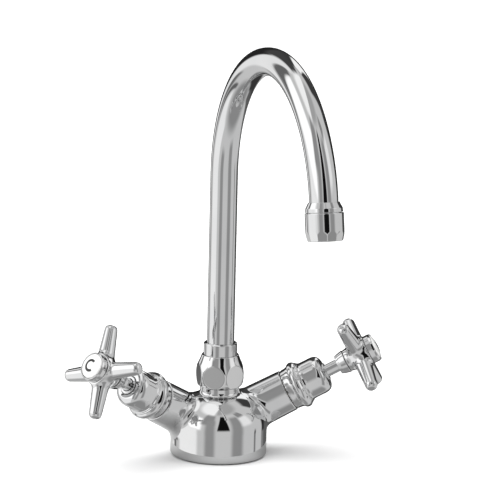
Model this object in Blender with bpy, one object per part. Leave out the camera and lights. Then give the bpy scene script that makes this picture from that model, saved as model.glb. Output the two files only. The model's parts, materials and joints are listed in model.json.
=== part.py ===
"""Two-handle basin mixer: a cast body with two raised arms, a swivelling gooseneck spout and cross handles.

The origin is the middle of the foot's underside. +Z is up, and the spout and both arms reach towards -Y.
Lengths in this file are millimetres. MM turns them into metres when a mesh or a place is made.
A turned piece is given by its outline: (radius, height) points around the closed half section.
"""

import math

import bmesh
import bpy
from mathutils import Matrix, Vector

MM = 0.001
GAP = 0.3  # clearance between neighbouring pieces
SMOOTH_ANGLE = math.radians(32)
COARSE, MEDIUM, FINE = 10, 16, 28  # sides of small, middling and large turned pieces

# Foot, bell and neck of the casting
FOOT_RADIUS = 31.8
FOOT_EDGE = 1.2
BELL_CURVE = ((31.8, 19.0), (31.8, 29.5), (26.0, 36.0), (15.0, 40.6))  # control points, wall to shoulder
SADDLE_CURVE = ((15.0, 40.6), (13.6, 41.2), (12.8, 42.2), (12.8, 43.8))  # shoulder to neck
BELL_STEPS = 8
NECK_RADIUS = 12.8
NECK_SHOULDER = 46.0
NECK_THREAD_RADIUS = 12.2
NECK_TOP = 58.8
NECK_BORE_RADIUS = 8.2
MIXING_FLOOR = 30.0

# Ports under the foot
INLET_RADIUS = 4.5
INLET_PLACE = (9.3, 7.5)  # mirrored in X
INLET_DEPTH = 19.0
STUD_RADIUS = 3.4
STUD_PLACE = (0.0, -11.0)
STUD_DEPTH = 14.0
GASKET_GROOVE = (26.3, 30.0, 2.3)  # inner radius, outer radius, depth

# Arms: both axes start at ARM_APEX. Lengths along an arm are counted from there.
ARM_APEX = (0.0, 13.7, 13.0)
ARM_TILT = math.radians(29.0)
ARM_AZIMUTH = math.radians(67.0)  # from -Y towards +X or -X
ARM_ROOT_RADIUS = 15.0
ARM_TIP_RADIUS = 14.1
ARM_END = 57.8
VALVE_THREAD_RADIUS = 10.3
CHAMBER_RADIUS = 9.3
CHAMBER_FLOOR = 31.0
CHAMBER_TOP = 45.0
SEAT_POCKET = (7.0, 28.2)  # radius, bottom
FEED_RADIUS = 4.2
CROSS_DRILL = (2.75, 2.0, 27.0, 34.5, 36.5)  # radius, start and end in X, heights at both

# Headwork, gland, bonnet and spindle
SPINDLE_RADIUS = 4.15
SPINDLE_THREAD_RADIUS = 5.2
SPINDLE_BOTTOM = 37.9
SPINDLE_SHOULDER = 57.0
SPINDLE_TOP = 110.6
SOCKET_RADIUS = 2.6
HEADWORK_TOP = 79.0
BONNET_TOP = 85.7
BEAD_RADIUS = 16.0
BEAD_PLACE = 66.0
BARREL_RADIUS = 12.8

# Handles
HANDLE_PLANE = 111.1
HANDLE_REACH = 31.8
HANDLE_ARM_ROOT = 6.3
HANDLE_ARM_TIP = 4.0
HANDLE_BACK = 101.5
HANDLE_FRONT = 117.8
HANDLE_TURN = {"left": math.radians(16.2), "right": math.radians(35.9)}

# Spout
TUBE_RADIUS = 9.0
TUBE_BORE = 8.0
TUBE_BOTTOM = 62.7
BEND_START = 188.0
BEND_RADIUS = 86.9
BEND_SWEEP = math.radians(170.0)
BEND_STEPS = 20
TUBE_SIDES = 16
FLANGE = (12.1, 60.4, 62.4)  # radius, bottom, top
TAIL_GROOVES = (44.0, 50.0)
TAIL_GROOVE_WIDTH = 2.4
TAIL_RADIUS = 7.9
COLLAR_RADIUS = 11.05
COLLAR_TOP = 75.4

# Bulb nut
NUT_BOTTOM = 46.3
NUT_TOP = 67.4
NUT_BULB_RADIUS = 16.3
NUT_BULB_HEIGHT = 54.0
NUT_FLAT_DISTANCE = 14.4
NUT_TURN = math.radians(53.5)
NUT_BORE = 12.5
NUT_LIP_RADIUS = 11.4
NUT_LIP_BOTTOM = 64.0

# Outlet: lengths are counted along the stream from the end of the bend
HOUSING_RADIUS = 12.0
HOUSING_TOP = 6.5
HOUSING_FLATS_TOP = 18.2
HOUSING_BOTTOM = 23.8
HOUSING_FLATS = 12

FINISHES = {  # base colour, roughness, metallic
    "chrome": ((0.78, 0.78, 0.79), 0.07, 1.0),
    "brass": ((0.72, 0.53, 0.24), 0.32, 1.0),
    "steel": ((0.62, 0.62, 0.63), 0.28, 1.0),
    "rubber": ((0.02, 0.02, 0.02), 0.65, 0.0),
    "fibre": ((0.36, 0.12, 0.08), 0.80, 0.0),
    "acetal": ((0.86, 0.86, 0.84), 0.42, 0.0),
    "enamel": ((0.90, 0.90, 0.89), 0.18, 0.0),
}


# ---------------------------------------------------------------- scene and placing


def clear_scene():
    for old in list(bpy.data.objects):
        bpy.data.objects.remove(old, do_unlink=True)


def axis_empty(name, matrix):
    """An empty on a piece's axis. Its pieces are made around its local Z."""
    empty = bpy.data.objects.new(name, None)
    bpy.context.scene.collection.objects.link(empty)
    empty.matrix_world = matrix
    return empty


def frame_matrix(origin, along, across):
    """Local Z runs along one direction and local X leans towards the other. The origin is in millimetres."""
    z = Vector(along).normalized()
    y = z.cross(Vector(across)).normalized()
    x = y.cross(z)
    turn = Matrix((x, y, z)).transposed().to_4x4()
    return Matrix.Translation(Vector(origin) * MM) @ turn


def arm_direction(side):
    flat = math.cos(ARM_TILT)
    sign = 1.0 if side == "right" else -1.0
    return Vector((sign * math.sin(ARM_AZIMUTH) * flat, -math.cos(ARM_AZIMUTH) * flat, math.sin(ARM_TILT)))


def material_for(name, finish):
    colour, roughness, metallic = FINISHES[finish]
    material = bpy.data.materials.new(name + "_finish")
    material.use_nodes = True
    shader = material.node_tree.nodes["Principled BSDF"]
    shader.inputs["Base Color"].default_value = (*colour, 1.0)
    shader.inputs["Roughness"].default_value = roughness
    shader.inputs["Metallic"].default_value = metallic
    return material


def object_from(name, shape, finish, parent):
    """Turns a bmesh in millimetres into a named object, smooth over its curved faces."""
    bmesh.ops.remove_doubles(shape, verts=shape.verts, dist=0.001)
    bmesh.ops.recalc_face_normals(shape, faces=shape.faces)
    bmesh.ops.scale(shape, vec=(MM, MM, MM), verts=shape.verts)
    mesh = bpy.data.meshes.new(name)
    shape.to_mesh(mesh)
    shape.free()
    mesh.shade_smooth()
    mesh.set_sharp_from_angle(angle=SMOOTH_ANGLE)
    made = bpy.data.objects.new(name, mesh)
    bpy.context.scene.collection.objects.link(made)
    if finish:
        mesh.materials.append(material_for(name, finish))
    made.parent = parent
    return made


def cutter_from(name, shape, parent):
    cutter = object_from(name, shape, None, parent)
    cutter.hide_render = True
    cutter.display_type = "WIRE"
    return cutter


def combine(target, other, operation):
    step = target.modifiers.new(f"{operation.lower()} {other.name}", "BOOLEAN")
    step.operation = operation
    step.solver = "EXACT"
    step.object = other


# ---------------------------------------------------------------- shapes


def turned(outline, sides=MEDIUM):
    """Spins a closed half section round Z. An outline that meets the axis gives a solid, any other a ring."""
    shape = bmesh.new()
    points = [shape.verts.new((radius, 0.0, height)) for radius, height in outline]
    closed = all(radius > 0 for radius, _ in outline)
    ends = points[1:] + points[:1] if closed else points[1:]
    edges = [shape.edges.new(pair) for pair in zip(points, ends)]
    full = {"cent": (0, 0, 0), "axis": (0, 0, 1), "angle": 2 * math.pi, "use_merge": True}
    bmesh.ops.spin(shape, geom=points + edges, steps=sides, **full)
    return shape


def torus(ring_radius, cord_radius, height, sides=COARSE, cord_sides=6):
    turns = [2 * math.pi * k / cord_sides for k in range(cord_sides)]
    section = [(ring_radius + cord_radius * math.cos(a), height + cord_radius * math.sin(a)) for a in turns]
    return turned(section, sides)


def arc_points(centre, radius, start, stop, steps):
    """(radius, height) points on a circle in the half section, angles in radians from +radius."""
    angles = [start + (stop - start) * k / steps for k in range(steps + 1)]
    return [(centre[0] + radius * math.cos(a), centre[1] + radius * math.sin(a)) for a in angles]


def bezier(points, steps):
    """Points on a cubic curve in the half section."""
    result = []
    for k in range(steps + 1):
        t = k / steps
        weights = ((1 - t) ** 3, 3 * t * (1 - t) ** 2, 3 * t * t * (1 - t), t**3)
        result.append(tuple(sum(w * p[i] for w, p in zip(weights, points)) for i in (0, 1)))
    return result


def cut_flat(shape, point, normal):
    """Planes away what lies beyond a point, and closes the cut with one flat face."""
    geometry = shape.verts[:] + shape.edges[:] + shape.faces[:]
    cut = bmesh.ops.bisect_plane(
        shape, geom=geometry, dist=1e-5, plane_co=point, plane_no=normal, clear_outer=True
    )["geom_cut"]
    rim = [part for part in cut if isinstance(part, bmesh.types.BMEdge)]
    bmesh.ops.edgeloop_fill(shape, edges=rim)


def tube_along(places, directions, across, outer, inner):
    """A hollow tube through places, with square-cut open ends."""
    shape = bmesh.new()
    rings = []
    for place, direction in zip(places, directions):
        up = across.cross(direction)
        for radius, store in ((outer, "outer"), (inner, "inner")):
            ring = []
            for k in range(TUBE_SIDES):
                a = 2 * math.pi * k / TUBE_SIDES
                ring.append(shape.verts.new(place + radius * (math.cos(a) * across + math.sin(a) * up)))
            rings.append((store, ring))
    outers = [ring for store, ring in rings if store == "outer"]
    inners = [ring for store, ring in rings if store == "inner"]
    loop = outers + inners[::-1]
    for first, second in zip(loop, loop[1:] + loop[:1]):
        for k in range(TUBE_SIDES):
            after = (k + 1) % TUBE_SIDES
            shape.faces.new((first[k], first[after], second[after], second[k]))
    return shape


# ---------------------------------------------------------------- casting


def bell_outline():
    """Foot, vertical wall, bell and threaded neck, from the underside up."""
    return [
        (0, 0),
        (FOOT_RADIUS - FOOT_EDGE, 0),
        (FOOT_RADIUS - 0.3 * FOOT_EDGE, 0.3 * FOOT_EDGE),
        (FOOT_RADIUS, FOOT_EDGE),
        *bezier(BELL_CURVE, BELL_STEPS),
        *bezier(SADDLE_CURVE, 3)[1:],
        (NECK_RADIUS, NECK_SHOULDER),
        (NECK_THREAD_RADIUS, NECK_SHOULDER),
        (NECK_THREAD_RADIUS, NECK_TOP),
        (0, NECK_TOP),
    ]


def arm_outline():
    return [
        (0, 10.0),
        (ARM_ROOT_RADIUS, 10.0),
        (ARM_ROOT_RADIUS - 0.3, 42.0),
        (ARM_TIP_RADIUS, ARM_END - 0.7),
        (ARM_TIP_RADIUS - 0.7, ARM_END),
        (0, ARM_END),
    ]


def pocket_outline():
    """Everything drilled down one arm: feed passage, seat pocket, valve chamber and thread."""
    pocket_radius, pocket_bottom = SEAT_POCKET
    return [
        (0, 12.0),
        (FEED_RADIUS, 12.0),
        (FEED_RADIUS, pocket_bottom),
        (pocket_radius, pocket_bottom),
        (pocket_radius, CHAMBER_FLOOR),
        (CHAMBER_RADIUS, CHAMBER_FLOOR),
        (CHAMBER_RADIUS, CHAMBER_TOP),
        (VALVE_THREAD_RADIUS, CHAMBER_TOP),
        (VALVE_THREAD_RADIUS, ARM_END + 2.0),
        (0, ARM_END + 2.0),
    ]


def cylinder_outline(radius, bottom, top):
    return [(0, bottom), (radius, bottom), (radius, top), (0, top)]


def drill(name, radius, start, end):
    """A round cutter between two points in millimetres."""
    line = Vector(end) - Vector(start)
    axis = axis_empty(name + "_axis", frame_matrix(start, line, (0, 1, 0)))
    return cutter_from(name, turned(cylinder_outline(radius, 0, line.length), COARSE), axis)


def make_body(arms):
    body = object_from("body", turned(bell_outline(), FINE), "chrome", None)
    for side, arm in arms.items():
        combine(body, cutter_from(f"arm_shape_{side}", turned(arm_outline(), FINE), arm), "UNION")
    for side, arm in arms.items():
        combine(body, cutter_from(f"arm_pocket_{side}", turned(pocket_outline(), MEDIUM), arm), "DIFFERENCE")
    radius, start, reach, middle, far = CROSS_DRILL
    for sign, side in ((1, "right"), (-1, "left")):
        cross = drill(f"cross_drill_{side}", radius, (sign * start, 0, middle), (sign * reach, 0, far))
        combine(body, cross, "DIFFERENCE")
        x, y = sign * INLET_PLACE[0], INLET_PLACE[1]
        inlet = drill(f"inlet_{side}", INLET_RADIUS, (x, y, -1), (x, y, INLET_DEPTH))
        combine(body, inlet, "DIFFERENCE")
    x, y = STUD_PLACE
    combine(body, drill("stud_hole", STUD_RADIUS, (x, y, -1), (x, y, STUD_DEPTH)), "DIFFERENCE")
    inner, outer, depth = GASKET_GROOVE
    groove = turned([(inner, -1), (outer, -1), (outer, depth), (inner, depth)], FINE)
    combine(body, cutter_from("gasket_groove", groove, None), "DIFFERENCE")
    bore = turned(cylinder_outline(NECK_BORE_RADIUS, MIXING_FLOOR, NECK_TOP + 1), MEDIUM)
    combine(body, cutter_from("neck_bore", bore, None), "DIFFERENCE")
    for step in body.modifiers:
        step.solver = "MANIFOLD"


def make_base_gasket():
    inner, outer, depth = GASKET_GROOVE
    low, high = inner + GAP, outer - GAP
    outline = [(low, 0), (high, 0), (high, depth - GAP), (low, depth - GAP)]
    object_from("base_gasket", turned(outline, FINE), "rubber", None)


# ---------------------------------------------------------------- swivel joint of the spout


def nut_outline():
    """Straight bore with an inward lip at the top, and a bulb outside that necks in towards the lip."""
    centre = (0.0, NUT_BULB_HEIGHT)
    low = math.asin((NUT_BOTTOM + 0.4 - NUT_BULB_HEIGHT) / NUT_BULB_RADIUS)
    high = math.radians(22)
    return [
        (NUT_LIP_RADIUS, NUT_LIP_BOTTOM),
        (NUT_BORE, NUT_LIP_BOTTOM),
        (NUT_BORE, NUT_BOTTOM),
        (13.9, NUT_BOTTOM),
        *arc_points(centre, NUT_BULB_RADIUS, low, high, 6),
        (14.1, 62.9),
        (13.1, 65.4),
        (12.3, 67.0),
        (12.0, NUT_TOP),
        (NUT_LIP_RADIUS, NUT_TOP),
    ]


def make_spout_nut():
    shape = turned(nut_outline(), FINE)
    for k in range(6):
        a = NUT_TURN + k * math.pi / 3
        normal = Vector((math.cos(a), math.sin(a), 0.0))
        cut_flat(shape, normal * NUT_FLAT_DISTANCE, normal)
    object_from("spout_nut", shape, "chrome", None)


def make_slide_rings():
    radius, bottom, top = FLANGE
    lower = [(TAIL_RADIUS + GAP, NECK_TOP + GAP), (radius, NECK_TOP + GAP)]
    lower += [(radius, bottom - GAP), (TAIL_RADIUS + GAP, bottom - GAP)]
    upper = [(NUT_LIP_RADIUS, top + GAP), (radius, top + GAP)]
    upper += [(radius, NUT_LIP_BOTTOM - GAP), (NUT_LIP_RADIUS, NUT_LIP_BOTTOM - GAP)]
    object_from("slide_ring_lower", turned(lower, FINE), "acetal", None)
    object_from("slide_ring_upper", turned(upper, FINE), "acetal", None)


def make_spout_tail(spout):
    """The turned end of the spout that sits in the neck, with a flange and two O-ring grooves."""
    radius, bottom, top = FLANGE
    floor = TAIL_RADIUS - 1.7
    outline = [(5.6, 40.5), (TAIL_RADIUS - 0.4, 40.5), (TAIL_RADIUS, 41.2)]
    for groove in TAIL_GROOVES:
        outline += [(TAIL_RADIUS, groove), (floor, groove)]
        outline += [(floor, groove + TAIL_GROOVE_WIDTH), (TAIL_RADIUS, groove + TAIL_GROOVE_WIDTH)]
    outline += [(TAIL_RADIUS, bottom), (radius, bottom), (radius, top)]
    outline += [(TUBE_BORE - GAP, top), (TUBE_BORE - GAP, 72.0), (7.2, 72.5), (5.6, 72.5)]
    object_from("spout_tail", turned(outline), "brass", spout)
    for name, groove in zip(("tail_oring_lower", "tail_oring_upper"), TAIL_GROOVES):
        object_from(name, torus(7.2, 0.7, groove + TAIL_GROOVE_WIDTH / 2, MEDIUM), "rubber", spout)


def make_spout_collar(spout):
    bottom = FLANGE[2] + GAP
    bore = TUBE_RADIUS + GAP
    outline = [(bore, bottom), (COLLAR_RADIUS, bottom), (COLLAR_RADIUS, COLLAR_TOP - 1.1)]
    outline += [(COLLAR_RADIUS - 0.3, COLLAR_TOP - 0.5), (10.0, COLLAR_TOP), (bore, COLLAR_TOP)]
    object_from("spout_collar", turned(outline, FINE), "chrome", spout)


# ---------------------------------------------------------------- gooseneck and outlet


def bend_point(angle):
    """A point of the tube's centre line, and its direction, at an angle into the bend."""
    place = Vector((0, -BEND_RADIUS * (1 - math.cos(angle)), BEND_START + BEND_RADIUS * math.sin(angle)))
    return place, Vector((0, -math.sin(angle), math.cos(angle)))


def make_spout_tube(spout):
    up = Vector((0, 0, 1))
    places, directions = [Vector((0, 0, TUBE_BOTTOM))], [up]
    for k in range(BEND_STEPS + 1):
        place, direction = bend_point(BEND_SWEEP * k / BEND_STEPS)
        places.append(place)
        directions.append(direction)
    places.append(places[-1] + 10.5 * directions[-1])
    directions.append(directions[-1])
    shape = tube_along(places, directions, Vector((1, 0, 0)), TUBE_RADIUS, TUBE_BORE)
    object_from("spout_tube", shape, "chrome", spout)


def make_outlet(spout):
    place, stream = bend_point(BEND_SWEEP)
    outlet = axis_empty("outlet_axis", frame_matrix(place, stream, (1, 0, 0)))
    outlet.parent = spout
    ferrule = [(9.3, 0.0), (9.6, 0.0), (11.5, 3.6), (11.6, 4.1), (11.6, 6.1), (10.2, 6.1)]
    ferrule += [(10.2, 12.4), (7.7, 12.4), (7.7, 10.8), (9.3, 10.8)]
    object_from("outlet_ferrule", turned(ferrule, FINE), "chrome", outlet)
    object_from(
        "aerator_seal", turned([(7.7, 12.7), (10.0, 12.7), (10.0, 14.2), (7.7, 14.2)]), "rubber", outlet
    )
    cartridge = [(0, 14.5), (10.1, 14.5), (10.1, 21.1), (8.9, 21.1), (8.9, 16.0), (0, 16.0)]
    object_from("aerator_cartridge", turned(cartridge), "acetal", outlet)
    for name, top in (("aerator_screen_upper", 16.6), ("aerator_screen_lower", 20.2)):
        object_from(name, turned(cylinder_outline(8.6, top, top + 0.6)), "steel", outlet)
    object_from("aerator_housing", housing_shape(), "chrome", outlet)


def housing_shape():
    """Barrel of the aerator. Wrench flats lean inwards round its lower edge."""
    outline = [(10.5, HOUSING_TOP), (11.8, HOUSING_TOP), (HOUSING_RADIUS, HOUSING_TOP + 0.4)]
    outline += [(HOUSING_RADIUS, HOUSING_FLATS_TOP - 0.6), (11.2, 22.6), (10.5, HOUSING_BOTTOM)]
    outline += [(9.0, HOUSING_BOTTOM), (9.0, 21.4), (10.5, 21.4)]
    shape = turned(outline, FINE)
    lean = math.radians(13)
    for k in range(HOUSING_FLATS):
        a = 2 * math.pi * k / HOUSING_FLATS
        normal = Vector((math.cos(a) * math.cos(lean), math.sin(a) * math.cos(lean), math.sin(lean)))
        cut_flat(shape, Vector((11.9 * math.cos(a), 11.9 * math.sin(a), HOUSING_FLATS_TOP)), normal)
    return shape


# ---------------------------------------------------------------- valve in each arm


def make_valve_seat(side, arm):
    radius, bottom = SEAT_POCKET
    low, outer = bottom + GAP, radius - GAP
    outline = [(4.0, low), (outer, low), (outer, 32.0), (5.6, 32.0), (5.2, 33.0), (4.6, 33.0), (4.0, 32.4)]
    object_from(f"valve_seat_{side}", turned(outline), "brass", arm)


def make_jumper(side, arm):
    """The plate that the spindle presses down, with its washer and the nut that holds the washer."""
    plate = [(0, 31.0), (1.3, 31.0), (1.3, 35.6), (6.3, 35.6), (6.3, 37.6)]
    plate += [(2.3, 37.6), (2.3, 44.0), (0, 44.0)]
    washer = [(1.7, 33.3), (6.1, 33.3), (6.3, 33.5), (6.3, 35.3), (1.7, 35.3)]
    nut = [(1.6, 31.4), (3.3, 31.4), (3.3, 33.0), (1.6, 33.0)]
    object_from(f"jumper_{side}", turned(plate, COARSE), "brass", arm)
    object_from(f"jumper_washer_{side}", turned(washer, COARSE), "rubber", arm)
    object_from(f"jumper_nut_{side}", turned(nut, 6), "brass", arm)


def make_headwork(side, arm):
    """The screwed-in valve housing that guides the spindle, and the washer under its flange."""
    bore, stem_bore, packing_bore = SPINDLE_THREAD_RADIUS + GAP, SPINDLE_RADIUS + GAP, 6.5
    thread = VALVE_THREAD_RADIUS - GAP
    bottom = CHAMBER_TOP + GAP
    outline = [(bore, bottom), (thread - 0.4, bottom), (thread, bottom + 0.9), (thread, 59.4)]
    outline += [(12.1, 59.4), (12.1, 61.8), (8.7, 61.8), (8.7, HEADWORK_TOP)]
    outline += [(packing_bore, HEADWORK_TOP), (packing_bore, 73.5)]
    outline += [(stem_bore, 73.5), (stem_bore, 63.5), (bore, 62.8)]
    object_from(f"headwork_{side}", turned(outline), "brass", arm)
    seal = [(10.4, 58.1), (12.0, 58.1), (12.0, 59.1), (10.4, 59.1)]
    object_from(f"headwork_seal_{side}", turned(seal), "fibre", arm)
    for name, place in (("inner", 74.6), ("outer", 76.5)):
        object_from(f"stem_oring_{name}_{side}", torus(5.4, 0.8, place), "rubber", arm)


def make_gland(side, arm):
    bore, outer, top = SPINDLE_RADIUS + 0.35, 6.1, BONNET_TOP + 0.8
    outline = [(bore, 77.6), (outer, 77.6), (outer, top - 0.5), (outer - 0.5, top), (bore, top)]
    object_from(f"gland_ring_{side}", turned(outline), "chrome", arm)


def bonnet_outline():
    """Flare from the arm up to a bead, a hollow neck, and a barrel with a rounded end."""
    bead = arc_points((BEAD_RADIUS - 3.2, BEAD_PLACE), 3.2, math.radians(-40), math.radians(50), 4)
    neck = bezier(((14.3, 69.7), (13.5, 70.9), (12.8, 71.4), (BARREL_RADIUS, 72.8)), 3)
    end = bezier(((BARREL_RADIUS, 79.6), (BARREL_RADIUS, 82.6), (11.6, 85.0), (7.6, BONNET_TOP)), 4)
    inside = [(6.5, BONNET_TOP), (6.5, 79.9), (9.1, 79.9), (9.1, 66.5), (12.5, 64.0), (12.5, 58.1)]
    return [(13.1, 58.1), (13.7, 58.8), (13.9, 60.6), (14.2, 62.2), *bead, *neck, *end, *inside]


def make_bonnet(side, arm):
    object_from(f"bonnet_{side}", turned(bonnet_outline(), FINE), "chrome", arm)


def make_spindle(side, arm):
    """Threaded below, plain through the gland, and splined at the top with a hole for the handle's screw."""
    outline = [(0, 46.5), (SOCKET_RADIUS, 45.6), (SOCKET_RADIUS, SPINDLE_BOTTOM)]
    outline += [(SPINDLE_THREAD_RADIUS, SPINDLE_BOTTOM), (SPINDLE_THREAD_RADIUS, SPINDLE_SHOULDER)]
    outline += [(SPINDLE_RADIUS, SPINDLE_SHOULDER + 1.0), (SPINDLE_RADIUS, 103.4), (3.6, 104.0)]
    outline += [(3.6, SPINDLE_TOP), (1.5, SPINDLE_TOP), (1.5, 102.6), (0, 102.0)]
    object_from(f"spindle_{side}", turned(outline), "chrome", arm)


# ---------------------------------------------------------------- handles


def make_handle_collar(side, arm):
    bore = SPINDLE_RADIUS + GAP
    outline = [(bore, 95.0), (6.0, 95.0), (6.3, 95.3), (7.0, 97.2), (7.7, 99.8), (7.9, HANDLE_BACK - GAP)]
    outline += [(bore, HANDLE_BACK - GAP)]
    object_from(f"handle_collar_{side}", turned(outline), "chrome", arm)


def handle_arm_outline():
    """One tapered arm of the cross, from the hub's axis to its blunt rounded tip."""
    corner = 2.2
    tip = (HANDLE_ARM_TIP - corner, HANDLE_REACH - corner)
    return [
        (0, 2.5),
        (HANDLE_ARM_ROOT, 2.5),
        *arc_points(tip, corner, 0.0, math.pi / 2, 3),
        (0, HANDLE_REACH),
    ]


def make_handle(side, arm):
    hub = [(0, HANDLE_BACK), (7.4, HANDLE_BACK), (7.7, HANDLE_BACK + 0.4), (8.2, 106.0), (9.2, 112.0)]
    hub += [(10.0, HANDLE_FRONT - 1.2), (10.1, HANDLE_FRONT - 0.5), (9.8, HANDLE_FRONT), (0, HANDLE_FRONT)]
    handle = object_from(f"handle_{side}", turned(hub), "chrome", arm)
    for k in range(4):
        a = HANDLE_TURN[side] + k * math.pi / 2
        limb = cutter_from(f"handle_arm_{side}_{k}", turned(handle_arm_outline(), COARSE), arm)
        limb.location = (0, 0, HANDLE_PLANE * MM)
        limb.rotation_euler = Vector((math.cos(a), math.sin(a), 0.0)).to_track_quat("Z", "Y").to_euler()
        combine(handle, limb, "UNION")
    bore = [(0, HANDLE_BACK - 1), (SPINDLE_RADIUS + GAP, HANDLE_BACK - 1), (SPINDLE_RADIUS + GAP, 104.3)]
    bore += [(3.9, 104.3), (3.9, SPINDLE_TOP + GAP), (1.6, SPINDLE_TOP + GAP), (1.6, 112.4)]
    bore += [(7.0, 112.4), (7.0, HANDLE_FRONT + 1), (0, HANDLE_FRONT + 1)]
    combine(handle, cutter_from(f"handle_bore_{side}", turned(bore), arm), "DIFFERENCE")


def make_handle_screw(side, arm):
    outline = [(0, 104.0), (1.2, 104.0), (1.2, 112.7), (3.4, 112.7), (3.4, 114.2), (2.4, 115.0), (0, 115.2)]
    object_from(f"handle_screw_{side}", turned(outline, COARSE), "steel", arm)


def make_index(side, arm):
    """The button on the handle's face: a domed disc that plugs into the hub, and the thin bezel round it."""
    low = HANDLE_FRONT + GAP
    bezel = [(8.5, low), (9.6, low), (9.6, 120.9), (9.3, 122.2), (8.8, 122.8), (8.5, 122.7)]
    object_from(f"index_bezel_{side}", turned(bezel), "chrome", arm)
    disc = [(0, 115.6), (6.6, 115.6), (6.6, low), (8.2, low), (8.2, 122.3), (7.9, 122.9)]
    disc += [(5.8, 123.6), (3.0, 124.1), (0, 124.3)]
    object_from(f"index_disc_{side}", turned(disc), "enamel", arm)


# ---------------------------------------------------------------- assembly


def main():
    clear_scene()
    spout = axis_empty("spout_axis", Matrix.Identity(4))
    arms = {}
    for side in ("left", "right"):
        arms[side] = axis_empty(f"arm_axis_{side}", frame_matrix(ARM_APEX, arm_direction(side), (0, 0, 1)))

    make_body(arms)
    make_base_gasket()
    make_spout_nut()
    make_slide_rings()
    make_spout_tail(spout)
    make_spout_collar(spout)
    make_spout_tube(spout)
    make_outlet(spout)
    for side, arm in arms.items():
        for make in (
            make_valve_seat,
            make_jumper,
            make_headwork,
            make_gland,
            make_bonnet,
            make_spindle,
            make_handle_collar,
            make_handle,
            make_handle_screw,
            make_index,
        ):
            make(side, arm)


main()
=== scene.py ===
"""Looks of the two-handle basin mixer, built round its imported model.

Lengths in this file are millimetres, and MM turns them into metres when a mesh is made. A turned piece is
given by its outline: (radius, height, fillet) corners round the half section, anticlockwise, with the solid
on the left. Pieces that aren't turned are surfaces of a distance field: negative inside, zero on the surface.
"""

import json
import math

import bpy
import numpy as np
from mathutils import Matrix, Vector


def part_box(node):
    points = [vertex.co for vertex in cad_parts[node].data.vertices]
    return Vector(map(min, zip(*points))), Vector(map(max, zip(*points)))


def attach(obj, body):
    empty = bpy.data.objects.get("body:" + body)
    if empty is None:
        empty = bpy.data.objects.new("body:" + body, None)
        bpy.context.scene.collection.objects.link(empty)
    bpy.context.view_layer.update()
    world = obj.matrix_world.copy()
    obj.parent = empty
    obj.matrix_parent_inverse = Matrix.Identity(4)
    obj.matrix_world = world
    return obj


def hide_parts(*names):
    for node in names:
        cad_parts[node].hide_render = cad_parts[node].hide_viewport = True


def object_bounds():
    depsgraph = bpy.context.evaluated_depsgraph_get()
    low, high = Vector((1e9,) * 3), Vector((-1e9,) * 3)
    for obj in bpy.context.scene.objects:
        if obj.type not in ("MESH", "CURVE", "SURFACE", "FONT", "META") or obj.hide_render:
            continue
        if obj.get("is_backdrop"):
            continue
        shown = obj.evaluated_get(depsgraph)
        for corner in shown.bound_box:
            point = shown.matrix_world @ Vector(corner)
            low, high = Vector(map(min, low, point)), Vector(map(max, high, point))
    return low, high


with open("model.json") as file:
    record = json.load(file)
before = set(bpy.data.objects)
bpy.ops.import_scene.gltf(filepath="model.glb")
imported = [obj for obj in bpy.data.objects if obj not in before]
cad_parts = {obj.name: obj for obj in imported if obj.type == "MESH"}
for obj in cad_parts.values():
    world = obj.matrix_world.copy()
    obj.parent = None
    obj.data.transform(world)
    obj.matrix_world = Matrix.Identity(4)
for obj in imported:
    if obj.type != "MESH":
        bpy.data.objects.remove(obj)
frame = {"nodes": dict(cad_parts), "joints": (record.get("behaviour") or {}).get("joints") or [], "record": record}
cad_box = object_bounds()

MM = 0.001
SIDES = 128  # round a turned piece
GAP = 0.3  # clearance between neighbouring pieces
EDGE = 0.18  # fillet of an edge that is only broken, not rounded

# Cell size of each surface that is made from a distance field
BODY_STEP = 0.75
HANDLE_STEP = 0.45
NUT_STEP = 0.4
HOUSING_STEP = 0.35

# Foot, bell and neck of the casting
FOOT_RADIUS = 31.8
FOOT_EDGE = 1.2
BELL_CURVE = ((31.8, 19.0), (31.8, 29.5), (26.0, 36.0), (15.0, 40.6))  # control points, wall to shoulder
SADDLE_CURVE = ((15.0, 40.6), (13.6, 41.2), (12.8, 42.2), (12.8, 43.8))  # shoulder to neck
NECK_RADIUS = 12.8
NECK_SHOULDER = 46.0
NECK_THREAD_RADIUS = 12.2
NECK_TOP = 58.8
NECK_BORE_RADIUS = 8.2
MIXING_FLOOR = 30.0
INLET = (4.5, 9.3, 7.5, 19.0)  # radius, x (mirrored), y, depth
STUD_HOLE = (3.4, 0.0, -11.0, 14.0)
GASKET_GROOVE = (26.3, 30.0, 2.3)  # inner radius, outer radius, depth

# Arms: lengths along an arm are counted from the point where both axes meet
ARM_ROOT_RADIUS = 15.0
ARM_TIP_RADIUS = 14.1
ARM_START = 10.0
ARM_END = 57.8
ARM_BLEND = 5.0  # size of the hollow where an arm grows out of the bell
POCKETS = ((4.2, 12.0, 29.0), (7.0, 28.2, 32.0), (9.3, 31.0, 46.0), (10.3, 45.0, 60.0))  # radius, start, end
SPINDLE_RADIUS = 4.15
BONNET_TOP = 85.7

# Handles
HANDLE_PLANE = 111.1
HANDLE_REACH = 31.8
HANDLE_ARM_ROOT = 6.3
HANDLE_ARM_TIP = 4.0
HANDLE_TIP_CORNER = 2.2
HANDLE_BLEND = 4.0  # size of the hollow between two arms
HANDLE_BACK = 101.5
HANDLE_FRONT = 117.8
DISC_DOME = ((8.1, 122.6), (7.4, 123.3), (4.0, 124.3), (0.0, 124.3))  # half section of the button's face
HANDLE_TURN = {"left": math.radians(16.2), "right": math.radians(35.9)}
HUB_BORE_TOP = 110.6
HUB_POCKET = (7.0, 112.4)  # radius, start
MARK_REACH = 3.5  # half height of the letters on the buttons

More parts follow.
